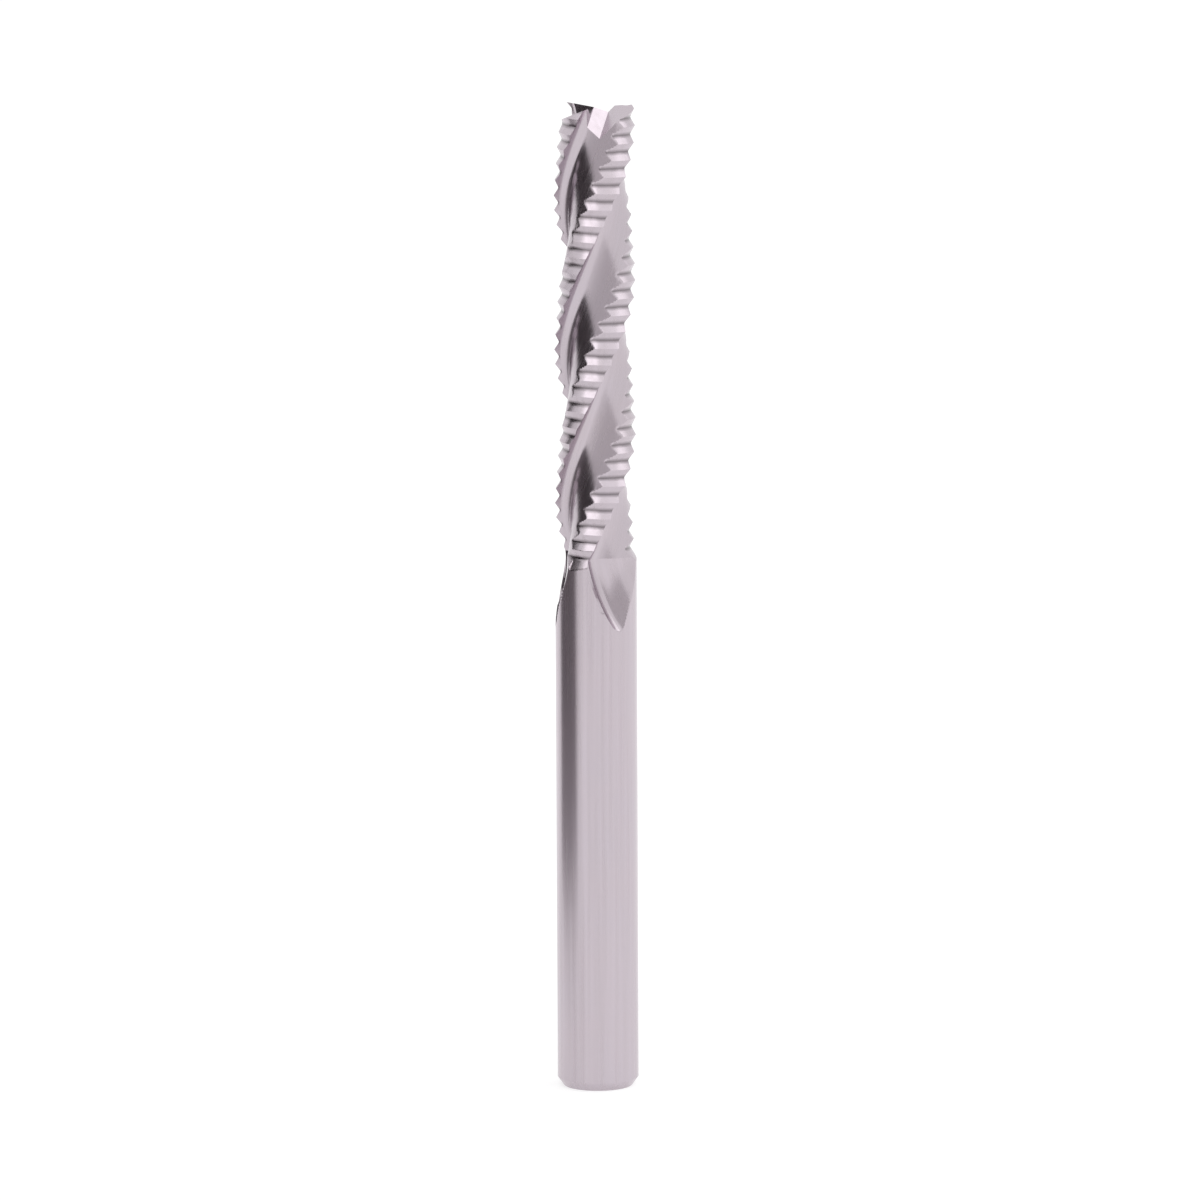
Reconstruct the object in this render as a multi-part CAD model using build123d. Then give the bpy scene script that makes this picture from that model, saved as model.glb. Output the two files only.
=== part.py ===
from build123d import *
import math
import os

# Spiral router bit for a hand-held or CNC router, ground from one rod of sintered carbide.
# Three right-hand flutes leave three lands. A row of V-shaped chip-breaker grooves crosses each
# land, so each cutting edge is a saw-tooth line, and the rows are staggered from land to land.
# Millimetres. The origin is the centre of the shank end face, and +Z points to the cutting end.
# Angles in a cross-section are in degrees, counter-clockwise seen from the cutting end, and a
# cutting edge looks counter-clockwise, the way that the bit turns. A depth is measured down
# from the corners of the cutting end.

# Rod
overall_length = 97.4
shank_diameter = 8.0
cutting_diameter = 8.0
shank_chamfer_width = 0.6
shank_chamfer_height = 0.85

# Flutes
flute_count = 3
helix_angle = 29.2
flute_length = 44.4
core_diameter = 4.4
rake_angle = 8.0
flute_root_radius = 0.7
flute_back_bulge = 0.25
first_edge_angle = 14.0

# Lands, with angles measured back from the cutting edge. The relieved land ends in a heel
# facet, which falls from the cutting circle to the back of the flute.
land_angle = 30.0
heel_foot_angle = 57.0
heel_foot_diameter = 6.0
relief_angle = 8.3

# Runout, where the grinding wheel leaves the flute
wheel_radius = 11.0
runout_direction = 50.0
runout_tilt = 14.0
runout_arc = 48.0

# Chip-breaker grooves
grooved_length = 44.4
groove_pitch = 1.575
groove_depth = 0.44
groove_root_width = 0.1
groove_flank_angle = 60.0
groove_tilt = 1.8
first_groove_share = 0.73

# Cutting end
dish_angle = 2.0
end_relief_angle = 22.0
gash_angle = 35.0
gash_side_angle = 34.0
gash_width = 1.25
gash_wall_angle = 61.0
gash_height = 3.0
gash_overrun = 1.5
long_tooth = 1

# How far a cutter stands past the metal that it takes away
overcut = 1.5

shank_radius = shank_diameter / 2
cutting_radius = cutting_diameter / 2
core_radius = core_diameter / 2
tooth_angle = 360 / flute_count
lead = math.pi * cutting_diameter / math.tan(math.radians(helix_angle))
flute_end = overall_length - flute_length
dish_depth = cutting_radius * math.tan(math.radians(dish_angle))


def direction(angle):
    """Unit vector in the cross-section at an angle from +X."""
    return Vector(math.cos(math.radians(angle)), math.sin(math.radians(angle)))


def edge_angle(tooth, depth):
    """Angle of a cutting edge: it follows the helix, and stays where the flute's helix ends."""
    turned = 360 * min(depth, flute_length) / lead
    return first_edge_angle + tooth * tooth_angle - turned


def flute_section():
    """Cross-section of the space of one flute, for a cutting edge on +X."""
    outside = cutting_radius + overcut
    edge = cutting_radius * direction(0)
    heel = cutting_radius * direction(tooth_angle - land_angle)
    heel_foot = heel_foot_diameter / 2 * direction(tooth_angle - heel_foot_angle)
    rake = direction(rake_angle)
    across = direction(rake_angle + 90)

    # The root circle touches the rake face and the core circle.
    start = edge + flute_root_radius * across
    along = start.dot(rake)
    reach = core_radius + flute_root_radius
    rake_depth = along - math.sqrt(along**2 - start.dot(start) + reach**2)
    root = start - rake_depth * rake
    rake_foot = root - flute_root_radius * across

    # The back of the flute bulges over the core from the root circle to the heel's foot.
    back_foot = core_radius * root.normalized()
    to_heel = heel_foot - back_foot
    bulge = flute_back_bulge * Vector(to_heel.Y, -to_heel.X).normalized()
    back_middle = back_foot + to_heel / 2 + bulge
    heel_end = heel + overcut * (heel - heel_foot).normalized()
    rake_end = edge + overcut * rake

    rake_bearing = rake_angle - 90
    back_bearing = math.degrees(math.atan2(root.Y, root.X)) - 180
    outline = [
        Line(rake_end, rake_foot),
        CenterArc(root, flute_root_radius, rake_bearing, back_bearing - rake_bearing),
        ThreePointArc(back_foot, back_middle, heel_foot),
        Line(heel_foot, heel_end),
        ThreePointArc(heel_end, (outside + overcut) * direction(tooth_angle / 3), rake_end),
    ]
    return make_face(outline).face()


def flute_space(tooth):
    """One flute: the section twisted along the helix, then rolled out over the wheel's rim."""
    section = flute_section()
    length = flute_length + overcut
    helix = Solid.extrude_linear_with_rotation(
        section, center=(0, 0, 0), normal=(0, 0, length), angle=360 * length / lead
    )
    level = direction(runout_direction + 90) * math.cos(math.radians(runout_tilt))
    spindle = level + Vector(0, 0, math.sin(math.radians(runout_tilt)))
    wheel_centre = (core_radius + wheel_radius) * direction(runout_direction)
    runout = revolve(section, Axis(wheel_centre, spindle), -runout_arc)
    return Pos(0, 0, flute_end) * Rot(0, 0, edge_angle(tooth, flute_length)) * (runout + helix)


def groove_space():
    """One chip-breaker groove across a land whose cutting edge is on +X, at height 0.

    It is turned about an axis that is offset ahead of the edge, which gives the radial relief.
    """
    offset = cutting_radius * math.tan(math.radians(relief_angle))
    edge_reach = math.hypot(cutting_radius, offset)
    root = edge_reach - groove_depth
    root_height = groove_root_width / 2
    mouth = edge_reach + groove_depth
    mouth_height = root_height + (mouth - root) * math.tan(math.radians(groove_flank_angle))
    outline = Polyline(
        (mouth, 0, -mouth_height),
        (root, 0, -root_height),
        (root, 0, root_height),
        (mouth, 0, mouth_height),
        close=True,
    )
    lead_in = tooth_angle / 6
    section = Rot(0, 0, -heel_foot_angle) * make_face(outline)
    ring = revolve(section, Axis.Z, heel_foot_angle + lead_in)
    return Rot(-groove_tilt, 0, 0) * Pos(0, offset, 0) * ring


def groove_depths(tooth):
    """Depths of the grooves of one land: each land's row starts a share of a pitch higher.

    The row begins one groove above the end face, which trims the corner of the first ridge.
    """
    share = (first_groove_share - tooth / flute_count) % 1
    count = int(grooved_length / groove_pitch - share) + 1
    return [(share + number) * groove_pitch for number in range(-1, count)]


def end_relief_space(tooth):
    """Space over the end face of one tooth: it dips to the centre and falls behind the edge."""
    reach = cutting_radius + overcut
    slope = Plane(
        origin=(0, 0, overall_length - dish_depth),
        x_dir=(math.cos(math.radians(dish_angle)), 0, math.sin(math.radians(dish_angle))),
        z_dir=(
            -math.sin(math.radians(dish_angle)),
            math.tan(math.radians(-end_relief_angle)),
            math.cos(math.radians(dish_angle)),
        ),
    )
    centre = Vector(0, 0, 0)
    corners = [centre] + [2 * reach * direction(-share * tooth_angle / 2) for share in range(3)]
    drawn = [slope.from_local_coords(corner) for corner in corners]
    sector = make_face(Polyline(*drawn, close=True))
    return Rot(0, 0, edge_angle(tooth, 0)) * extrude(sector, 2 * overcut, dir=(0, 0, 1))


def gash_space(tooth):
    """Gash ahead of one end edge: a floor from the centre out into the flute, and a wall.

    The floor falls outwards, and also sideways from the end edge to the foot of the wall. Each
    gash but one runs on behind the centre, where it notches the end edge of the tooth ahead.
    Only the long tooth keeps its edge up to the centre.
    """
    overrun = 0 if (tooth + 1) % flute_count == long_tooth else gash_overrun
    drop = gash_width * math.tan(math.radians(gash_side_angle))
    lean = (gash_height + drop) * math.tan(math.radians(gash_wall_angle))
    slope = Plane(
        origin=(0, 0, overall_length - dish_depth),
        x_dir=(0, 1, 0),
        z_dir=(math.cos(math.radians(gash_angle)), 0, -math.sin(math.radians(gash_angle))),
    ).offset(-overrun)
    corners = [
        (0, 0, 0),
        (gash_width, -drop, 0),
        (gash_width + lean, gash_height, 0),
        (0, gash_height, 0),
    ]
    drawn = [slope.from_local_coords(Vector(corner)) for corner in corners]
    section = make_face(Polyline(*drawn, close=True))
    length = overrun + cutting_radius + 2 * overcut
    slot = extrude(section, length, dir=slope.z_dir)
    return Rot(0, 0, edge_angle(tooth, 0)) * slot


def make_rod():
    """The blank: a plain rod with a small chamfer at the shank end."""
    shank = Pos(0, 0, flute_end / 2) * Cylinder(shank_radius, flute_end)
    foot = shank.edges().group_by(Axis.Z)[0]
    shank = chamfer(foot, shank_chamfer_height, shank_chamfer_width)
    cutting = Pos(0, 0, flute_end + flute_length / 2) * Cylinder(cutting_radius, flute_length)
    return shank + cutting


def make_router_bit():
    """The rod with its flutes, grooves, end relief and gashes ground away."""
    bit = make_rod()
    bit -= [flute_space(tooth) for tooth in range(flute_count)]
    groove = groove_space()
    grooves = []
    for tooth in range(flute_count):
        for depth in groove_depths(tooth):
            place = Pos(0, 0, overall_length - depth) * Rot(0, 0, edge_angle(tooth, depth))
            grooves.append(place * groove)
    bit -= grooves
    bit -= [end_relief_space(tooth) for tooth in range(flute_count)]
    bit -= [gash_space(tooth) for tooth in range(flute_count)]
    return bit


os.makedirs("parts", exist_ok=True)
router_bit = make_router_bit()
router_bit.label = "router_bit"
export_step(router_bit, "parts/router_bit.step")
print("volume mm3", round(router_bit.volume, 1), "solids", len(router_bit.solids()))
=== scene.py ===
# %% [markdown]
# # A spiral router bit, ground from one rod of carbide
# The real tool starts as a plain rod of sintered carbide. Grinding wheels cut three right-hand
# flutes into it, then a row of V-shaped grooves across each land, then the end. What is left is
# one solid, so this scene has one piece. Its form follows a rule all along: one cross-section
# turns about the axis, and one groove repeats. That is why Geometry Nodes builds it here.
# %% Load the frame
import bmesh
import bpy
import math
from mathutils import Matrix, Vector


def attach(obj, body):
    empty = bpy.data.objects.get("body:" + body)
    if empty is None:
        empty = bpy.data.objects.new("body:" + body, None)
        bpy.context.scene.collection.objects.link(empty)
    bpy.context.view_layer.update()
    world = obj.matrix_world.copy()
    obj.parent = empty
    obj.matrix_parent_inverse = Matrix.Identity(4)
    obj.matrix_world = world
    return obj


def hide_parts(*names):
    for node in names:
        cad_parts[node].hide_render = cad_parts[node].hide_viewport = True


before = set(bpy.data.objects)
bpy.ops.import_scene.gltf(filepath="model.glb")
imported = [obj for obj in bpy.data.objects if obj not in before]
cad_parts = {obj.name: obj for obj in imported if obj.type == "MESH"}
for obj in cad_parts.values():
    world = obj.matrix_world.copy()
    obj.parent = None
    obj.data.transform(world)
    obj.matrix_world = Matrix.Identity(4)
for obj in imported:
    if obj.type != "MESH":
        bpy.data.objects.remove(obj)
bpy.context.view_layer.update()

# %% [markdown]
# ## Sizes
# All sizes are in millimetres, as on a tool drawing, and `MM` turns them into metres where a
# mesh or a node needs them. They are the sizes of the solid model, except for five that shape
# the inside of the flutes: the core, the root, the bulge of the back, and the angle and radius
# of the heel's foot. The way light and dark meet in the flutes asks for a thicker core.
# %% Sizes of the tool
MM = 0.001
OVERALL_LENGTH = 97.4
RADIUS = 4.0
CHAMFER_WIDTH = 0.6
CHAMFER_HEIGHT = 0.85
TEETH = 3
TOOTH_ANGLE = math.radians(360 / TEETH)
HELIX_TURN = math.tan(math.radians(29.2)) / RADIUS
FLUTE_LENGTH = 44.4
CORE_RADIUS = 2.4
RAKE = math.radians(8)
ROOT_RADIUS = 1.0
BACK_BULGE = 0.2
FIRST_EDGE = math.radians(14)
LAND = math.radians(30)
HEEL_FOOT = math.radians(48)
HEEL_FOOT_RADIUS = 3.25
print("lead of the helix, mm", round(2 * math.pi / HELIX_TURN, 2))

# %% [markdown]
# The grooves break the chip into short pieces, and their rows are staggered from land to land.
# The wheel's sizes belong to the runout, and the gashes and the dish to the cutting end.
# %% Sizes of the grooves, the runout and the end
RELIEF_OFFSET = RADIUS * math.tan(math.radians(8.3))
GROOVED_LENGTH = 44.4
PITCH = 1.575
GROOVE_DEPTH = 0.44
GROOVE_ROOT_WIDTH = 0.1
FLANK_ANGLE = math.radians(60)
GROOVE_TILT = math.radians(1.8)
FIRST_SHARE = 0.73
WHEEL_RADIUS = 11.0
RUNOUT_DIRECTION = math.radians(50)
RUNOUT_TILT = math.radians(14)
DISH = math.radians(2)
END_RELIEF = math.radians(22)
GASH_ANGLE = math.radians(35)
GASH_SIDE = math.radians(34)
GASH_WIDTH = 1.25
GASH_WALL = math.radians(61)
GASH_HEIGHT = 3.0
GASH_OVERRUN = 1.5
LONG_TOOTH = 1
END_HEIGHT = OVERALL_LENGTH - RADIUS * math.tan(DISH)
print("grooves on a land, about", int(GROOVED_LENGTH / PITCH))

# %% [markdown]
# ## The cross-section, point by point
# A grinder sees the section of such a tool as a chain: down the rake face from the cutting
# edge, round the root of the flute, along its back, up the heel facet and over the land to
# the next edge. The chain is drawn here as a closed loop of points, dense where the grooves
# will bend it. Each point also carries what the node tree has to know about it, as attributes.
# %% Points of one tooth
def polar(radius, angle):
    """Point of the cross-section at a radius and an angle from the X axis."""
    return Vector((radius * math.cos(angle), radius * math.sin(angle)))


edge = polar(RADIUS, 0)
heel = polar(RADIUS, TOOTH_ANGLE - LAND)
heel_foot = polar(HEEL_FOOT_RADIUS, TOOTH_ANGLE - HEEL_FOOT)
rake_line = polar(1, RAKE)
rake_normal = polar(1, RAKE + math.pi / 2)
above_edge = edge + ROOT_RADIUS * rake_normal
along = above_edge.dot(rake_line)
root_reach = CORE_RADIUS + ROOT_RADIUS
rake_depth = along - math.sqrt(along**2 - above_edge.length_squared + root_reach**2)
root_centre = above_edge - rake_depth * rake_line
rake_foot = root_centre - ROOT_RADIUS * rake_normal
print("the rake face is", round((rake_foot - edge).length, 2), "mm deep")

# %% [markdown]
# The back of a ground flute is slightly convex, because the wheel that cuts it is round. An
# arc through the root, a bulge over the chord and the foot of the heel facet gives that.
# %% Back of the flute, which bulges over the core
root_bearing = math.atan2(root_centre.y, root_centre.x)
back_foot = polar(CORE_RADIUS, root_bearing)
to_heel = heel_foot - back_foot
half_chord = to_heel.length / 2
back_radius = (half_chord**2 + BACK_BULGE**2) / (2 * BACK_BULGE)
outwards = Vector((to_heel.y, -to_heel.x)).normalized()
back_centre = back_foot + to_heel / 2 + (BACK_BULGE - back_radius) * outwards
first, last = [math.atan2(at.y, at.x) for at in (back_foot - back_centre, heel_foot - back_centre)]
print("radius of the flute's back, mm", round(back_radius, 2))

# %% [markdown]
# A point on the rake face slides down that face when a groove crosses it, and a point on the
# land or the heel slides towards the axis that its groove is turned about. The root and the
# back have no groove. `reach` says how far a point stands from the groove's axis.
# %% Chain of points with what each one carries
def shift_of(tooth):
    """Share of a pitch by which a land's grooves start lower."""
    return (FIRST_SHARE - tooth / TEETH) % 1


def last_groove(tooth):
    """Number of the lowest groove on a land, counted from 0 at the end."""
    return int(GROOVED_LENGTH / PITCH - shift_of(tooth))


RAKE_POINTS, ROOT_POINTS, BACK_POINTS, HEEL_POINTS, LAND_POINTS = 8, 10, 12, 18, 14
chain = []
for tooth in range(TEETH):
    after = (tooth + 1) % TEETH
    turn = FIRST_EDGE + tooth * TOOTH_ANGLE
    edge_reach = math.hypot(RADIUS, RELIEF_OFFSET)
    own_axis = Vector((0, RELIEF_OFFSET))
    axis_after = polar(RELIEF_OFFSET, math.pi / 2 + TOOTH_ANGLE)
    here = {"shift": shift_of(tooth), "last": last_groove(tooth), "turn": turn}
    there = {"shift": shift_of(after), "last": last_groove(after), "turn": turn}
    foot_lift = math.tan(GROOVE_TILT) * HEEL_FOOT_RADIUS * math.sin(HEEL_FOOT)
    for number in range(RAKE_POINTS):
        share = number / RAKE_POINTS
        slide = -rake_line * (1 - share) / math.cos(RAKE + math.atan(RELIEF_OFFSET / RADIUS))
        chain.append(dict(here, at=edge.lerp(rake_foot, share), slide=slide, reach=edge_reach,
                          lift=0, land=0, blend=0))
    for number in range(ROOT_POINTS + BACK_POINTS):
        if number < ROOT_POINTS:
            arc = math.pi / 2 + RAKE - root_bearing
            angle = RAKE - math.pi / 2 - arc * number / (ROOT_POINTS - 1)
            at = root_centre + polar(ROOT_RADIUS, angle)
        else:
            along_back = (number - ROOT_POINTS + 1) / (BACK_POINTS + 1)
            at = back_centre + polar(back_radius, first + along_back * (last - first))
        share = (number + 1) / (ROOT_POINTS + BACK_POINTS + 1)
        mixed = here["shift"] + share * (there["shift"] - here["shift"])
        chain.append({"at": at, "slide": Vector((0, 0)), "reach": 0, "lift": share * foot_lift,
                      "shift": mixed, "last": 0, "turn": turn, "land": 0, "blend": 0})
    for number in range(HEEL_POINTS):
        at = heel_foot.lerp(heel, number / (HEEL_POINTS - 1))
        inward = axis_after - at
        behind = TOOTH_ANGLE - math.atan2(at.y, at.x)
        chain.append(dict(there, at=at, slide=inward.normalized(), reach=inward.length,
                          lift=math.tan(GROOVE_TILT) * at.length * math.sin(behind), land=0,
                          blend=0))
    for number in range(1, LAND_POINTS + 1):
        share = number / (LAND_POINTS + 1)
        at = polar(RADIUS, -LAND * (1 - share))
        inward = own_axis - at
        chain.append(dict(there, at=at, slide=inward.normalized(), reach=inward.length,
                          lift=-math.tan(GROOVE_TILT) * at.y, land=1, blend=share,
                          turn=turn + TOOTH_ANGLE))
print("points round the section", len(chain))

# %% [markdown]
# A node tree reads a mesh and its attributes, so the chain becomes one, in metres. `walk` is
# the way round the section up to each point, and the grinding lines are drawn along it later.
# %% The chain as a mesh with attributes
section = bpy.data.meshes.new("section")
loop = [(number, (number + 1) % len(chain)) for number in range(len(chain))]
section.from_pydata([(point["at"].x * MM, point["at"].y * MM, 0) for point in chain], loop, [])
for name, scale in (("reach", MM), ("lift", MM), ("shift", 1), ("last", 1), ("turn", 1),
                    ("land", 1), ("blend", 1)):
    layer = section.attributes.new(name, "FLOAT", "POINT")
    layer.data.foreach_set("value", [point[name] * scale for point in chain])
layer = section.attributes.new("slide", "FLOAT_VECTOR", "POINT")
for item, point in zip(layer.data, chain):
    item.vector = (point["slide"].x, point["slide"].y, 0)
walked = 0
layer = section.attributes.new("walk", "FLOAT", "POINT")
for number, item in enumerate(layer.data):
    item.value = walked * MM
    walked += (chain[(number + 1) % len(chain)]["at"] - chain[number]["at"]).length
print("way round the section, mm", round(walked, 1))

# %% [markdown]
# ## Where the flutes run out
# The wheel that grinds a flute is a disc. At the end of its way it stands still along the
# helix and swings out, so it leaves a tongue-shaped scoop in the shank. The section is turned
# here about the axis of a small wheel that leans with the helix. The last point of it to
# leave the rod says how far the turn has to go.
# %% Turn of the wheel
wheel_centre = polar(CORE_RADIUS + WHEEL_RADIUS, RUNOUT_DIRECTION).to_3d()
spindle = polar(math.cos(RUNOUT_TILT), RUNOUT_DIRECTION + math.pi / 2).to_3d()
spindle.z = math.sin(RUNOUT_TILT)


STEPS_PER_DEGREE = 4
LEAST_TURN = 3
MOST_TURN = 60
TURN_TO_SPARE = 0.5


def leaving_turn(point):
    """Degrees that the wheel turns before a point of the section leaves the rod."""
    for step in range(LEAST_TURN * STEPS_PER_DEGREE + 1, MOST_TURN * STEPS_PER_DEGREE):
        degrees = step / STEPS_PER_DEGREE
        turned = Matrix.Rotation(-math.radians(degrees), 3, spindle) @ (point - wheel_centre)
        if (turned + wheel_centre).xy.length > RADIUS:
            return degrees
    return MOST_TURN


flute_points = [point["at"].to_3d() for point in chain if not point["land"]]
last_to_leave = max(leaving_turn(point) for point in flute_points)
WHEEL_TURN = math.radians(last_to_leave + TURN_TO_SPARE)
print("the wheel turns, degrees", round(math.degrees(WHEEL_TURN), 1))

# %% [markdown]
# ## The end, cleared by two wheels
# One wheel clears the end face of each tooth: it dips to the middle of the tool and falls away
# behind the cutting edge. A second wheel grinds a gash in front of each end edge. Both take
# away everything on one side of a plane, so each is a solid that the bit loses.
# %% Wheel for the end face
TOP = OVERALL_LENGTH + 5.0
REACH = 9.0


def end_plane(angle, behind):
    """Point at REACH on the end face of a tooth, `behind` its edge."""
    out, back = REACH * math.cos(behind), REACH * math.sin(behind)
    rise = out * math.tan(DISH) - back * math.tan(END_RELIEF) / math.cos(DISH)
    flat = polar(REACH, angle - behind)
    return (flat.x * MM, flat.y * MM, (END_HEIGHT + rise) * MM)


points = [(0, 0, END_HEIGHT * MM)]
faces = []
for tooth in range(TEETH):
    for share in range(3):
        points.append(end_plane(FIRST_EDGE + tooth * TOOTH_ANGLE, share * TOOTH_ANGLE / 2))
high, halfway, low = [1, 4, 7], [2, 5, 8], [3, 6, 9]
roof = len(points)
for tooth in range(TEETH):
    for under in (high[tooth], halfway[tooth]):
        x, y, _ = points[under]
        points.append((x, y, TOP * MM))
for tooth in range(TEETH):
    before = (tooth - 1) % TEETH
    over_edge, over_halfway = roof + 2 * tooth, roof + 2 * tooth + 1
    over_low = roof + 2 * before
    faces += [(0, high[tooth], halfway[tooth]), (0, halfway[tooth], low[tooth])]
    faces.append((0, low[tooth], high[before]))
    faces.append((high[tooth], over_edge, over_halfway, halfway[tooth]))
    faces.append((halfway[tooth], over_halfway, over_low, high[before], low[tooth]))
faces.append([roof + 2 * (-number % TEETH) + side for number in range(TEETH) for side in (0, 1)])
end_wheel = bpy.data.meshes.new("end wheel")
end_wheel.from_pydata(points, [], faces)
print("end wheel", len(faces), "faces")

# %% [markdown]
# A gash gives the end edge a front to cut with and lets the chips out into the flute. Its
# floor slopes outwards and also sideways. Each gash but one runs on past the middle and notches
# the end edge of the tooth ahead, so only the long tooth keeps its edge up to the middle.
# %% Wheels for the gashes
GASH_REACH = RADIUS + 3
drop = GASH_WIDTH * math.tan(GASH_SIDE)
lean = (GASH_HEIGHT + drop) * math.tan(GASH_WALL)
down = Vector((math.cos(GASH_ANGLE), 0, -math.sin(GASH_ANGLE)))
up = Vector((math.sin(GASH_ANGLE), 0, math.cos(GASH_ANGLE)))
ahead = Vector((0, 1, 0))
corners = [(0, 0), (GASH_WIDTH, -drop), (GASH_WIDTH + lean, GASH_HEIGHT), (0, GASH_HEIGHT)]


def gash_wheel(tooth):
    """Solid that grinds the gash of one tooth. Only the long tooth keeps its whole edge."""
    overrun = 0 if (tooth + 1) % TEETH == LONG_TOOTH else GASH_OVERRUN
    spin = Matrix.Rotation(FIRST_EDGE + tooth * TOOTH_ANGLE, 3, "Z")
    points = []
    for way in (-overrun, GASH_REACH):
        for width, height in corners:
            at = spin @ (way * down + width * ahead + height * up)
            points.append((at.x * MM, at.y * MM, (at.z + END_HEIGHT) * MM))
    faces = [(0, 1, 2, 3), (7, 6, 5, 4)]
    faces += [(n, n + 4, (n + 1) % 4 + 4, (n + 1) % 4) for n in range(4)]
    made = bpy.data.meshes.new("gash wheel")
    made.from_pydata(points, [], faces)
    return made


gash_wheels = [gash_wheel(tooth) for tooth in range(TEETH)]
print("gash wheels", len(gash_wheels))

# %% [markdown]
# The bit can only lose a solid whose faces all point outwards. Their order was not watched
# while they were drawn, so Blender turns them here, and a volume over zero shows that it did.
# %% Faces of the wheels outwards
wheels = []
for mesh in (end_wheel, *gash_wheels):
    shape = bmesh.new()
    shape.from_mesh(mesh)
    bmesh.ops.recalc_face_normals(shape, faces=shape.faces)
    print(mesh.name, "volume mm3", round(shape.calc_volume() / MM**3, 1))
    shape.to_mesh(mesh)
    shape.free()
    wheel = bpy.data.objects.new(mesh.name, mesh)
    bpy.context.scene.collection.objects.link(wheel)
    wheels.append(wheel)

# %% [markdown]
# ## Ground tungsten carbide
# Sintered carbide is a hard grey metal, a little darker and warmer than steel. Diamond wheels
# leave it satin: the eye sees soft streaks along the shank and finer lines along the flutes.
# The bottoms of the grooves get painted shade: a darker colour stands in for the shade in them.
# The material reads all this from the object's own coordinates and from attributes that the
# node tree stores.
# %% One function for nodes and one for colours
def add(tree, kind, *values, out=0, **settings):
    """Add a node, apply its settings, and give each input in turn a value or a link."""
    node = tree.nodes.new(kind)
    for name, value in settings.items():
        setattr(node, name, value)
    sockets = [socket for socket in node.inputs if socket.enabled]
    for socket, value in zip(sockets, values):
        if isinstance(value, bpy.types.NodeSocket):
            tree.links.new(value, socket)
        elif value is not None:
            socket.default_value = value
    return node if out == "node" else node.outputs[out]


def srgb(code):
    """Turn a hex colour into the linear values that Blender's sockets hold."""
    parts = [int(code[place:place + 2], 16) / 255 for place in (1, 3, 5)]
    linear = [p / 12.92 if p <= 0.04045 else ((p + 0.055) / 1.055) ** 2.4 for p in parts]
    return (*linear, 1)


print("carbide grey in linear values", [round(v, 3) for v in srgb("#C4BFC3")])

# %% Ground carbide
carbide = bpy.data.materials.new("ground tungsten carbide")
carbide.use_nodes = True
tree = carbide.node_tree
shader = tree.nodes["Principled BSDF"]
shader.inputs["Metallic"].default_value = 1.0
place = add(tree, "ShaderNodeTexCoord", out=3)
grain_way = add(tree, "ShaderNodeAttribute", out=1, attribute_name="grain")
in_flute = add(tree, "ShaderNodeAttribute", out=2, attribute_name="flute")

# A diamond wheel draws lines of about 0.02 mm, too fine to show, so they are wider here.
STREAK = 0.5 * MM
STREAK_LENGTH = 30 * MM
streaks_at = add(tree, "ShaderNodeMapping", place, None, None,
                 (1 / STREAK, 1 / STREAK, 1 / STREAK_LENGTH))
streaks = add(tree, "ShaderNodeTexNoise", streaks_at, 1.0, 2.0, 0.5)
FLUTE_LINE = 0.35 * MM
FLUTE_LINE_LENGTH = 8 * MM
strokes_at = add(tree, "ShaderNodeMapping", grain_way, None, None,
                 (1 / FLUTE_LINE, 1 / FLUTE_LINE_LENGTH, 1))
strokes = add(tree, "ShaderNodeTexNoise", strokes_at, 1.0, 3.0, 0.6)
lines = add(tree, "ShaderNodeMix", in_flute, streaks, strokes, data_type="FLOAT")
print("streaks of", STREAK / MM, "mm and lines of", FLUTE_LINE / MM, "mm")

# %% [markdown]
# Carbide is not one even grey: it leans a little to pink and to lilac in soft patches, and the
# ground lines are a shade darker. Roughness and a slight bump follow the same lines, so that
# colour, gloss and relief agree.
# %% Tints, painted groove shade, roughness and bump of the carbide
MATH = "ShaderNodeMath"
GROOVE_SHADE_SHARE = 0.75
LEAST_ROUGH, MOST_ROUGH = 0.2, 0.3
BUMP_STRENGTH = 0.12
BUMP_DEPTH = 0.02 * MM
PATCH = 5 * MM
patches_at = add(tree, "ShaderNodeMapping", place, None, None, (1 / PATCH,) * 3)
patches = add(tree, "ShaderNodeTexNoise", patches_at, 1.0, 2.0, 0.5)
tint = add(tree, "ShaderNodeMix", patches, srgb("#C9BDC4"), srgb("#C5BDC7"), out=2,
           data_type="RGBA")
shade = add(tree, "ShaderNodeMix", lines, tint, srgb("#C0B6BC"), out=2, data_type="RGBA")
bottom = add(tree, "ShaderNodeAttribute", out=2, attribute_name="bottom")
# Painted shade: towards the middle of each groove the colour darkens, standing in for the shade in
# the groove's bottom.
painted_groove_shade = add(tree, MATH, bottom, GROOVE_SHADE_SHARE, operation="MULTIPLY")
with_painted_groove_shade = add(tree, "ShaderNodeMix", painted_groove_shade, shade, srgb("#5E575A"), out=2, data_type="RGBA")
tree.links.new(with_painted_groove_shade, shader.inputs["Base Color"])
rough = add(tree, "ShaderNodeMapRange", lines, 0.3, 0.7, LEAST_ROUGH, MOST_ROUGH)
tree.links.new(rough, shader.inputs["Roughness"])
bump = add(tree, "ShaderNodeBump", BUMP_STRENGTH, BUMP_DEPTH, out="node")
tree.links.new(lines, bump.inputs["Height"])
tree.links.new(bump.outputs[0], shader.inputs["Normal"])
print("material", carbide.name)

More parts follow.
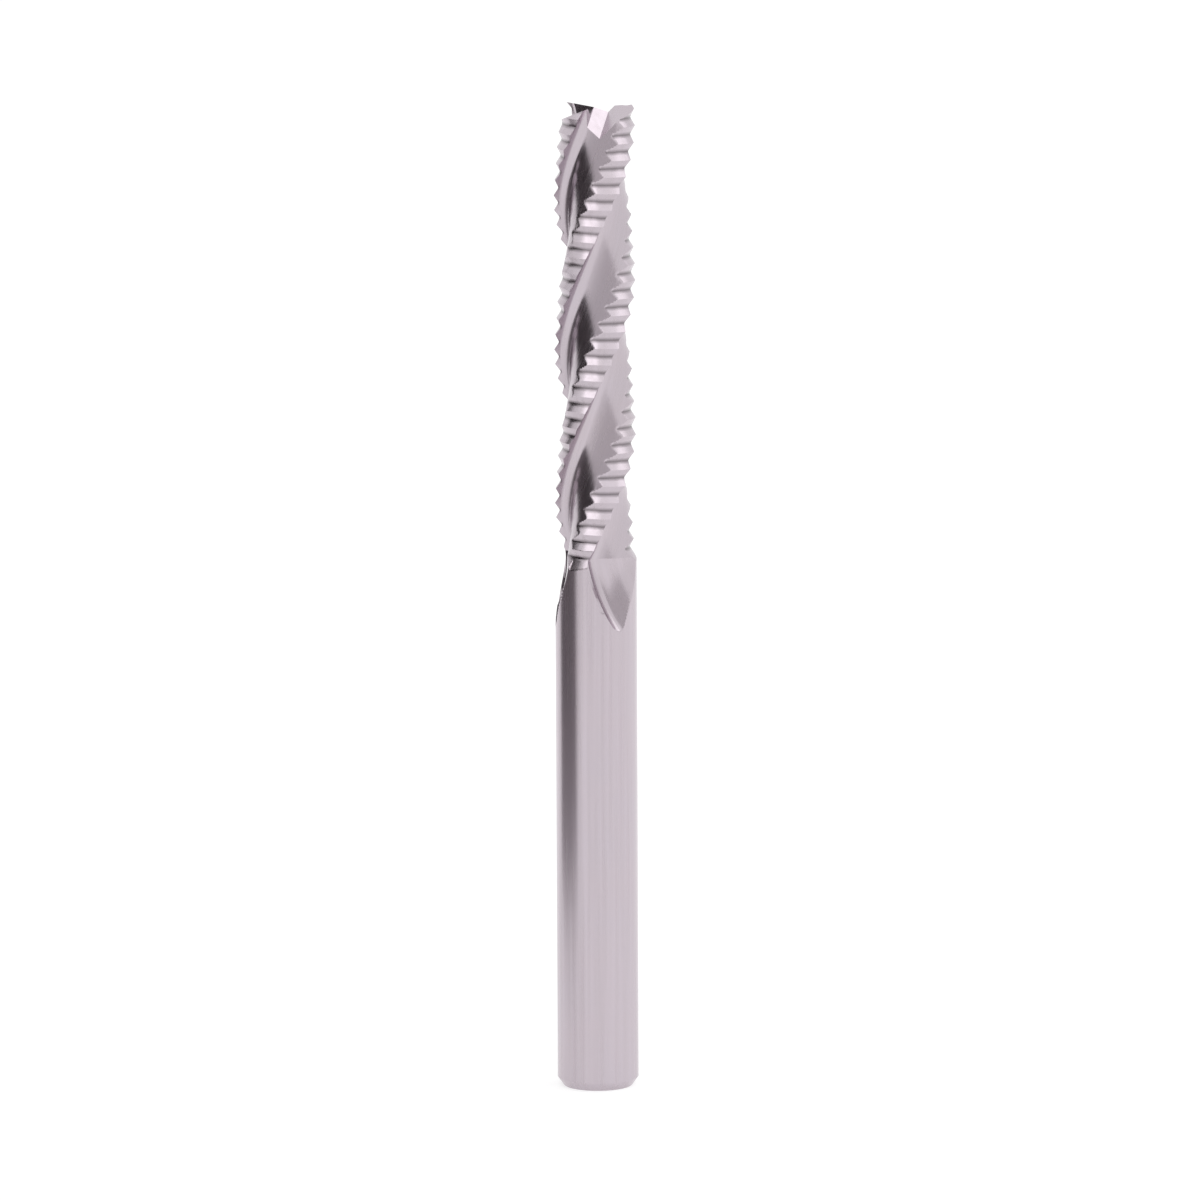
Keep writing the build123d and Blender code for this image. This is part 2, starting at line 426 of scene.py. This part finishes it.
# %% [markdown]
# ## The node tree
# A cylinder is a grid that is bent round and closed: each of its points has a column, round
# the tool, and a row, along it. The tree gives every column one point of the section and every
# row one height, and then works out where that point stands. Rows keep to the grooves, so that
# each ridge and each groove bottom is a clean line of edges.
# %% Rows along the tool
ROWS_PER_GROOVE = 10
LEVEL_GROOVES = 27
HELIX_ROWS = (LEVEL_GROOVES + 1) * ROWS_PER_GROOVE
CLOSING_ROWS = 24
RUNOUT_ROWS = 90
SHANK_ROWS = 26
flute_end_row = HELIX_ROWS + CLOSING_ROWS
runout_end_row = flute_end_row + RUNOUT_ROWS
chamfer_row = runout_end_row + SHANK_ROWS
COLUMNS = len(chain)
print("rows", chamfer_row + 2, "columns", COLUMNS)

# %% [markdown]
# The sizes come into the tree as named inputs, so the same tree makes a longer bit or one with
# finer grooves. The wheels that cut the end come in as objects.
# %% Inputs of the tree
bit = bpy.data.node_groups.new("Router bit", "GeometryNodeTree")
bit.interface.new_socket("Geometry", in_out="OUTPUT", socket_type="NodeSocketGeometry")
bit.interface.new_socket("Section", in_out="INPUT", socket_type="NodeSocketGeometry")
sizes = {
    "Overall length": OVERALL_LENGTH * MM,
    "Radius": RADIUS * MM,
    "Flute length": FLUTE_LENGTH * MM,
    "Helix turn per metre": HELIX_TURN / MM,
    "Groove pitch": PITCH * MM,
    "Groove bottom": (math.hypot(RADIUS, RELIEF_OFFSET) - GROOVE_DEPTH) * MM,
    "Groove root width": GROOVE_ROOT_WIDTH * MM,
    "Flank slope": math.tan(FLANK_ANGLE),
    "Wheel turn": WHEEL_TURN,
    "Chamfer height": CHAMFER_HEIGHT * MM,
    "Chamfer width": CHAMFER_WIDTH * MM,
}
for name in sizes:
    bit.interface.new_socket(name, in_out="INPUT", socket_type="NodeSocketFloat")
WHEEL_NAMES = ["End wheel"] + [f"Gash wheel {tooth + 1}" for tooth in range(TEETH)]
for name in WHEEL_NAMES:
    bit.interface.new_socket(name, in_out="INPUT", socket_type="NodeSocketObject")
bit.interface.new_socket("Finish", in_out="INPUT", socket_type="NodeSocketMaterial")
given = bit.nodes.new("NodeGroupInput").outputs
length, radius = given["Overall length"], given["Radius"]
pitch, flute_length = given["Groove pitch"], given["Flute length"]
print("named inputs", len(bit.interface.items_tree))

# %% [markdown]
# The cylinder is only a supply of points in good order, since each of them is moved below. Its
# points are numbered row by row after the first, which is the middle of the top cap.
# %% Column and row of each point
BLANK_LENGTH = 100 * MM
blank = add(bit, "GeometryNodeMeshCylinder", COLUMNS, chamfer_row + 1, 1, RADIUS * MM,
            BLANK_LENGTH, fill_type="TRIANGLE_FAN")
index = add(bit, "GeometryNodeInputIndex")
counted = add(bit, MATH, index, 1.0, operation="SUBTRACT")
column = add(bit, MATH, counted, float(COLUMNS), operation="FLOORED_MODULO")
row_share = add(bit, MATH, counted, float(COLUMNS), operation="DIVIDE")
row = add(bit, MATH, row_share, operation="FLOOR")
print("points in a row", COLUMNS)

# %% What the section says about the column
said = {}
for name in ("reach", "lift", "shift", "last", "turn", "land", "blend", "walk"):
    field = add(bit, "GeometryNodeInputNamedAttribute", name, data_type="FLOAT")
    said[name] = add(bit, "GeometryNodeSampleIndex", given["Section"], field, column,
                     data_type="FLOAT", domain="POINT")
field = add(bit, "GeometryNodeInputNamedAttribute", "slide", data_type="FLOAT_VECTOR")
slide = add(bit, "GeometryNodeSampleIndex", given["Section"], field, column,
            data_type="FLOAT_VECTOR", domain="POINT")
field = add(bit, "GeometryNodeInputPosition")
drawn = add(bit, "GeometryNodeSampleIndex", given["Section"], field, column,
            data_type="FLOAT_VECTOR", domain="POINT")
print("attributes read", len(said) + 2)

# %% [markdown]
# Each row follows the grooves of the column's own land: ten rows to a groove, and every row
# lifted a little where the grooves are tilted. The last rows close up to the level where the
# helix ends, so that the runout starts from a flat section.
# %% Depth of each row below the end
groove_number = add(bit, MATH, row, 1 / ROWS_PER_GROOVE, -1.0, operation="MULTIPLY_ADD")
groove_number = add(bit, MATH, groove_number, float(LEVEL_GROOVES), operation="MINIMUM")
groove_number = add(bit, MATH, groove_number, said["shift"], operation="ADD")
row_depth = add(bit, MATH, groove_number, pitch, operation="MULTIPLY")
row_depth = add(bit, MATH, row_depth, said["lift"], operation="SUBTRACT")
closing = add(bit, "ShaderNodeMapRange", row, float(HELIX_ROWS), float(flute_end_row), 0.0, 1.0)
depth = add(bit, "ShaderNodeMix", closing, row_depth, flute_length, data_type="FLOAT")
print("helix ends at row", flute_end_row)

# %% [markdown]
# The wheel's turn at the runout moves the points of a flute along circles. A point that would
# leave the rod stays on its surface. The points of a land have no wheel: they are shared out
# on the rod between the heel on one side and the edge on the other.
# %% Points turned with the wheel
turned = add(bit, "ShaderNodeMapRange", row, float(flute_end_row), float(runout_end_row), 0.0,
             1.0)
turned = add(bit, MATH, turned, given["Wheel turn"], operation="MULTIPLY")
back_turn = add(bit, MATH, turned, -1.0, operation="MULTIPLY")
swung = {}
for name, start in (("flute", drawn), ("heel", tuple(heel.to_3d() * MM)),
                    ("edge", tuple(edge.to_3d() * MM))):
    at = add(bit, "ShaderNodeVectorRotate", start, tuple(wheel_centre * MM), tuple(spindle),
             back_turn, rotation_type="AXIS_ANGLE")
    parts = add(bit, "ShaderNodeSeparateXYZ", at, out="node").outputs
    angle = add(bit, MATH, parts[1], parts[0], operation="ARCTAN2")
    flat = add(bit, "ShaderNodeCombineXYZ", parts[0], parts[1], 0.0)
    away = add(bit, "ShaderNodeVectorMath", flat, out="node", operation="LENGTH").outputs[1]
    swung[name] = (angle, away, parts[2])
print("turned with the wheel", list(swung))

# %% Angle, radius and height of each point
heel_angle = add(bit, MATH, swung["heel"][0], TOOTH_ANGLE, operation="SUBTRACT")
land_angle = add(bit, "ShaderNodeMix", said["blend"], heel_angle, swung["edge"][0],
                 data_type="FLOAT")
land_fall = add(bit, "ShaderNodeMix", said["blend"], swung["heel"][2], swung["edge"][2],
                data_type="FLOAT")
angle = add(bit, "ShaderNodeMix", said["land"], swung["flute"][0], land_angle,
            data_type="FLOAT")
fall = add(bit, "ShaderNodeMix", said["land"], swung["flute"][2], land_fall,
           data_type="FLOAT")
away = add(bit, MATH, swung["flute"][1], radius, operation="MINIMUM")
away = add(bit, "ShaderNodeMix", said["land"], away, radius, data_type="FLOAT")
height = add(bit, MATH, length, depth, operation="SUBTRACT")
height = add(bit, MATH, height, fall, operation="ADD")
print("nodes so far", len(bit.nodes))

# %% [markdown]
# A groove is a V that runs round the tool. At each point the tree asks for the nearest groove
# of that land, and from the way to its middle it knows how far out the metal may reach. What
# stands further out slides in: towards the groove's own axis on the land, and down the rake
# face at the edge, so that the edge turns into the saw-tooth line of a roughing cutter.
# %% Slide of each point into its groove
below = add(bit, MATH, length, height, operation="SUBTRACT")
below = add(bit, MATH, below, said["lift"], operation="ADD")
count = add(bit, MATH, below, pitch, operation="DIVIDE")
count = add(bit, MATH, count, said["shift"], operation="SUBTRACT")
nearest = add(bit, MATH, count, operation="ROUND")
nearest = add(bit, MATH, nearest, said["last"], operation="MINIMUM")
off_middle = add(bit, MATH, count, nearest, operation="SUBTRACT")
off_middle = add(bit, MATH, off_middle, operation="ABSOLUTE")
off_middle = add(bit, MATH, off_middle, pitch, operation="MULTIPLY")
half_root = add(bit, MATH, given["Groove root width"], 0.5, operation="MULTIPLY")
off_root = add(bit, MATH, off_middle, half_root, operation="SUBTRACT")
off_root = add(bit, MATH, off_root, 0.0, operation="MAXIMUM")
climb = add(bit, MATH, off_root, given["Flank slope"], operation="DIVIDE")
allowed = add(bit, MATH, given["Groove bottom"], climb, operation="ADD")
excess = add(bit, MATH, said["reach"], allowed, operation="SUBTRACT")
excess = add(bit, MATH, excess, 0.0, operation="MAXIMUM")
moved = add(bit, "ShaderNodeVectorMath", slide, excess, operation="SCALE")
print("nodes so far", len(bit.nodes))

# %% [markdown]
# With its radius, angle and slide a point has its place in the section, and the helix turns the
# whole section by an amount that grows with the depth. Below the runout the rows are shared
# out evenly down to the chamfer, where the shank narrows.
# %% Place of each point
in_plane = add(bit, "ShaderNodeCombineXYZ", away, 0.0, 0.0)
in_plane = add(bit, "ShaderNodeVectorRotate", in_plane, (0, 0, 0), (0, 0, 1), angle,
               rotation_type="AXIS_ANGLE")
in_plane = add(bit, "ShaderNodeVectorMath", in_plane, moved, operation="ADD")
helix = add(bit, MATH, depth, given["Helix turn per metre"], operation="MULTIPLY")
whole_turn = add(bit, MATH, said["turn"], helix, operation="SUBTRACT")
in_plane = add(bit, "ShaderNodeVectorRotate", in_plane, (0, 0, 0), (0, 0, 1), whole_turn,
               rotation_type="AXIS_ANGLE")
levelled = add(bit, "ShaderNodeMapRange", row, float(runout_end_row), float(chamfer_row), 0.0,
               1.0)
stand = add(bit, "ShaderNodeMix", levelled, height, given["Chamfer height"], data_type="FLOAT")
at_foot = add(bit, MATH, row, chamfer_row + 0.5, operation="GREATER_THAN")
stand = add(bit, "ShaderNodeMix", at_foot, stand, 0.0, data_type="FLOAT")
foot_radius = add(bit, MATH, radius, given["Chamfer width"], operation="SUBTRACT")
foot_share = add(bit, MATH, foot_radius, radius, operation="DIVIDE")
spread = add(bit, "ShaderNodeMix", at_foot, 1.0, foot_share, data_type="FLOAT")
print("chamfer at row", chamfer_row)

# %% Caps: the two points on the axis
CAP_RISE = 2.5 * MM
above_top = add(bit, MATH, row, -0.5, operation="LESS_THAN")
under_foot = add(bit, MATH, row, chamfer_row + 1.5, operation="GREATER_THAN")
on_axis = add(bit, MATH, above_top, under_foot, operation="ADD")
spread = add(bit, "ShaderNodeMix", on_axis, spread, 0.0, data_type="FLOAT")
cap_height = add(bit, MATH, length, CAP_RISE, operation="ADD")
stand = add(bit, "ShaderNodeMix", above_top, stand, cap_height, data_type="FLOAT")
in_plane = add(bit, "ShaderNodeVectorMath", in_plane, spread, operation="SCALE")
lifted = add(bit, "ShaderNodeCombineXYZ", 0.0, 0.0, stand)
final = add(bit, "ShaderNodeVectorMath", in_plane, lifted, operation="ADD")
formed = add(bit, "GeometryNodeSetPosition", blank, None, final)
print("nodes so far", len(bit.nodes))

# %% [markdown]
# The tree knows which wheel made each point, and it tells the material: `flute` where a flute
# was cut and no groove crosses, `bottom` towards the middle of a groove, where the material
# paints shade, and `grain` for the way of the grinding lines.
# %% Attributes for the material
ROD_WALL = 3.995 * MM
LEAST_SLIDE = 0.001 * MM
GROOVE_SLIDE = 0.05 * MM
BOTTOM_WIDTH = 0.3 * MM
cut = add(bit, MATH, away, ROD_WALL, operation="LESS_THAN")
ungrooved = add(bit, MATH, excess, LEAST_SLIDE, operation="LESS_THAN")
in_flute = add(bit, MATH, cut, ungrooved, operation="MULTIPLY")
formed = add(bit, "GeometryNodeStoreNamedAttribute", formed, None, "flute", in_flute,
             data_type="FLOAT", domain="POINT")
grooved = add(bit, MATH, excess, GROOVE_SLIDE, operation="GREATER_THAN")
# `bottom` is the mask of the painted shade in the groove bottoms.
bottom = add(bit, "ShaderNodeMapRange", off_middle, 0.0, BOTTOM_WIDTH, 1.0, 0.0)
bottom = add(bit, MATH, bottom, grooved, operation="MULTIPLY")
formed = add(bit, "GeometryNodeStoreNamedAttribute", formed, None, "bottom", bottom,
             data_type="FLOAT", domain="POINT")
way = add(bit, "ShaderNodeCombineXYZ", said["walk"], stand, 0.0)
formed = add(bit, "GeometryNodeStoreNamedAttribute", formed, None, "grain", way,
             data_type="FLOAT_VECTOR", domain="POINT")
print("attributes stored: flute, bottom, grain")

# %% [markdown]
# The fluted rod stands a little too tall at first. The end wheel trims it to its dished end,
# and the gash wheels follow, each a Mesh Boolean node. The manifold solver is used because
# both solids are closed, and it keeps the attributes.
# %% The end ground, and the tree closed
cutters = []
for name in WHEEL_NAMES:
    info = add(bit, "GeometryNodeObjectInfo", given[name], out="node")
    cutters.append(info.outputs["Geometry"])
ground = formed
for cutter in cutters:
    step = bit.nodes.new("GeometryNodeMeshBoolean")
    step.operation = "DIFFERENCE"
    step.solver = "MANIFOLD"
    bit.links.new(ground, step.inputs[0])
    bit.links.new(cutter, step.inputs[1])
    ground = step.outputs[0]
whole = add(bit, "GeometryNodeRealizeInstances", ground)
whole = add(bit, "GeometryNodeSetMaterial", whole, None, given["Finish"])
end = bit.nodes.new("NodeGroupOutput")
bit.links.new(whole, end.inputs[0])
print("nodes in the tree", len(bit.nodes))

# %% [markdown]
# The modifier gets its inputs before its first evaluation, and its result is kept as a plain
# mesh. Edges that turn sharply stay sharp, such as ridges and cutting edges, and all others
# are shaded smooth, so a helix of flat faces looks ground.
# %% The tree evaluated and made a plain mesh
SHARP_ANGLE = math.radians(22)
maker = bpy.data.objects.new("maker", section)
bpy.context.scene.collection.objects.link(maker)
modifier = maker.modifiers.new("Router bit", "NODES")
modifier.node_group = bit
for item in bit.interface.items_tree:
    if item.in_out != "INPUT":
        continue
    if item.name in sizes:
        modifier[item.identifier] = sizes[item.name]
    elif item.name in WHEEL_NAMES:
        modifier[item.identifier] = wheels[WHEEL_NAMES.index(item.name)]
    elif item.name == "Finish":
        modifier[item.identifier] = carbide
evaluated = maker.evaluated_get(bpy.context.evaluated_depsgraph_get())
mesh = bpy.data.meshes.new_from_object(evaluated)
mesh.name = "carbide_router_bit"
mesh.shade_smooth()
mesh.set_sharp_from_angle(angle=SHARP_ANGLE)
for helper in (maker, *wheels):
    bpy.data.objects.remove(helper)
print("points", len(mesh.vertices), "faces", len(mesh.polygons))

# %% [markdown]
# The one piece stands for the one solid and rides on its body. It is at the origin, unturned,
# with its place in the mesh.
# %% The piece
piece = bpy.data.objects.new("carbide_router_bit", mesh)
bpy.context.scene.collection.objects.link(piece)
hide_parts("router_bit")
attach(piece, "root")
triangles = sum(len(face.vertices) - 2 for face in mesh.polygons)
print("triangles", triangles)

# %% [markdown]
# ## Floor, light and camera
# The tool stands on white paper in a light tent, which is white all round. Paper and tent look
# white to the camera and in the metal, but light the tool only as much as they should, which
# Light Path nodes allow. So the floor still takes the shadow of the tool.
# %% Floor
def paper(name, glow, colour):
    """White paper: it looks white to the camera and in metal, and takes some shadow."""
    made = bpy.data.materials.new(name)
    made.use_nodes = True
    nodes = made.node_tree
    nodes.nodes.clear()
    rays = add(nodes, "ShaderNodeLightPath", out="node").outputs
    seen = add(nodes, MATH, rays["Is Camera Ray"], rays["Is Glossy Ray"], operation="MAXIMUM")
    seen = add(nodes, MATH, seen, rays["Is Transmission Ray"], operation="MAXIMUM")
    glow_now = add(nodes, MATH, seen, glow, operation="MULTIPLY")
    shine = add(nodes, "ShaderNodeEmission", (1, 1, 1, 1), glow_now)
    matt = add(nodes, "ShaderNodeBsdfDiffuse", srgb(colour))
    both = add(nodes, "ShaderNodeAddShader", shine, matt)
    add(nodes, "ShaderNodeOutputMaterial", both, out="node")
    return made


FLOOR_SIZE = 6.0
PAPER_GLOW = 0.72
bpy.ops.mesh.primitive_plane_add(size=FLOOR_SIZE, location=(0, 0, 0))
floor = bpy.context.object
floor.name = "paper_floor"
floor.data.materials.append(paper("white paper", PAPER_GLOW, "#B4B4B4"))
print("floor", FLOOR_SIZE, "m wide")

# %% World
TENT_LIGHT = 0.7
TENT_WHITE = 1.0
world = bpy.data.worlds.new("light tent")
bpy.context.scene.world = world
world.use_nodes = True
tent = world.node_tree
tent.nodes.clear()
rays = add(tent, "ShaderNodeLightPath", out="node").outputs
seen = add(tent, MATH, rays["Is Camera Ray"], rays["Is Glossy Ray"], operation="MAXIMUM")
seen = add(tent, MATH, seen, rays["Is Transmission Ray"], operation="MAXIMUM")
level = add(tent, "ShaderNodeMix", seen, TENT_LIGHT, TENT_WHITE, data_type="FLOAT")
sky = add(tent, "ShaderNodeBackground", (1, 1, 1, 1), level)
add(tent, "ShaderNodeOutputWorld", sky, out="node")
print("world", world.name)

# %% [markdown]
# A wide lamp above gives an even level, and a smaller one to each side brightens the flanks of
# the grooves. All are weak, so that no pale surface clips to white.
# %% Lamps
def aim(thing, target):
    """Turn a lamp so that it shines at a point."""
    thing.rotation_euler = (target - thing.location).to_track_quat("-Z", "Y").to_euler()


middle = Vector((0, 0, OVERALL_LENGTH / 2 * MM))
LAMPS = (
    # name, place from the tool's middle in metres, two sides in metres, watts
    ("top lamp", (0.0, -0.1, 0.8), (1.2, 1.0), 0.9),
    ("right lamp", (0.42, 0.07, 0.56), (0.5, 0.5), 0.5),
    ("left lamp", (-0.3, -0.4, 0.6), (0.5, 0.4), 0.4),
)
for name, place_from_middle, sides, watts in LAMPS:
    lamp_data = bpy.data.lights.new(name, "AREA")
    lamp_data.shape = "RECTANGLE"
    lamp_data.size, lamp_data.size_y = sides
    lamp_data.energy = watts
    lamp = bpy.data.objects.new(name, lamp_data)
    bpy.context.scene.collection.objects.link(lamp)
    lamp.location = middle + Vector(place_from_middle)
    aim(lamp, middle)
print("lamps", len(LAMPS))

# %% [markdown]
# Bare metal shows what stands round it, so a photographer shapes it with cards. Three at the
# left, one above the other and paler towards the floor, give the shank a dark band that fades
# downwards, and darken the backs of the flutes. A wide grey one behind the camera does what a
# room would. The camera itself doesn't see the cards.
# %% Cards
def card(name, corners, felt, code, glow=0.0):
    """Flat card through four corners, in metres, of cloth that may shine a little."""
    made = bpy.data.meshes.new(name)
    made.from_pydata(corners, [], [(0, 1, 2, 3)])
    cloth = bpy.data.materials.new(felt)
    cloth.use_nodes = True
    nodes = cloth.node_tree
    nodes.nodes.clear()
    matt = add(nodes, "ShaderNodeBsdfDiffuse", srgb(code))
    shine = add(nodes, "ShaderNodeEmission", (1, 1, 1, 1), glow)
    both = add(nodes, "ShaderNodeAddShader", shine, matt)
    add(nodes, "ShaderNodeOutputMaterial", both, out="node")
    made.materials.append(cloth)
    placed = bpy.data.objects.new(name, made)
    placed.visible_camera = False
    bpy.context.scene.collection.objects.link(placed)


LEFT_X = -0.1
FRONT_Y, BACK_Y = -0.067, 0.053
LEFT_CARDS = (
    # name, felt, colour, lower and upper edge in metres
    ("black_card", "black felt", "#544F51", 0.053, 0.135),
    ("low_card", "grey felt", "#8F898C", 0.018, 0.053),
    ("pale_card", "pale grey felt", "#BDB7BA", 0.0, 0.018),
)
for name, felt, code, lower, upper in LEFT_CARDS:
    card(name, [(LEFT_X, FRONT_Y, lower), (LEFT_X, BACK_Y, lower), (LEFT_X, BACK_Y, upper),
                (LEFT_X, FRONT_Y, upper)], felt, code)
ROOM_GLOW = 0.2
card("grey_card", [(-2.6, -1.3, 0.0), (1.0, -1.5, 0.0), (1.0, -1.5, 1.3), (-2.6, -1.3, 1.3)],
     "grey cloth", "#E6E2E4", ROOM_GLOW)
print("cards", len(LEFT_CARDS) + 1)

# %% [markdown]
# A long lens from over a metre away, a little above the tool, gives the nearly parallel edges
# of a catalogue picture. The lens follows from how many pixels a millimetre takes up.
# %% Camera
SENSOR = 36.0
FAR = 20
PIXELS_RIGHT, PIXELS_DOWN = 3.9, 2.0
PIXELS = 1200
PIXELS_PER_MM = 10.2
DISTANCE = 1.2
ELEVATION = math.radians(10.2)
ROLL = math.radians(0.247)
camera_data = bpy.data.cameras.new("camera")
camera = bpy.data.objects.new("camera", camera_data)
bpy.context.scene.collection.objects.link(camera)
bpy.context.scene.camera = camera
camera_data.sensor_width = SENSOR
camera_data.lens = SENSOR * DISTANCE / (PIXELS / PIXELS_PER_MM * MM)
camera_data.clip_end = FAR
target = middle + Vector((PIXELS_RIGHT / PIXELS_PER_MM * MM, 0,
                          -PIXELS_DOWN / PIXELS_PER_MM * MM))
camera.location = target + DISTANCE * Vector((0, -math.cos(ELEVATION), math.sin(ELEVATION)))
facing = (target - camera.location).to_track_quat("-Z", "Y").to_matrix()
camera.rotation_euler = (facing @ Matrix.Rotation(-ROLL, 3, "Z")).to_euler()
bpy.context.scene.view_settings.view_transform = "Standard"
print("lens mm", round(camera_data.lens, 1))
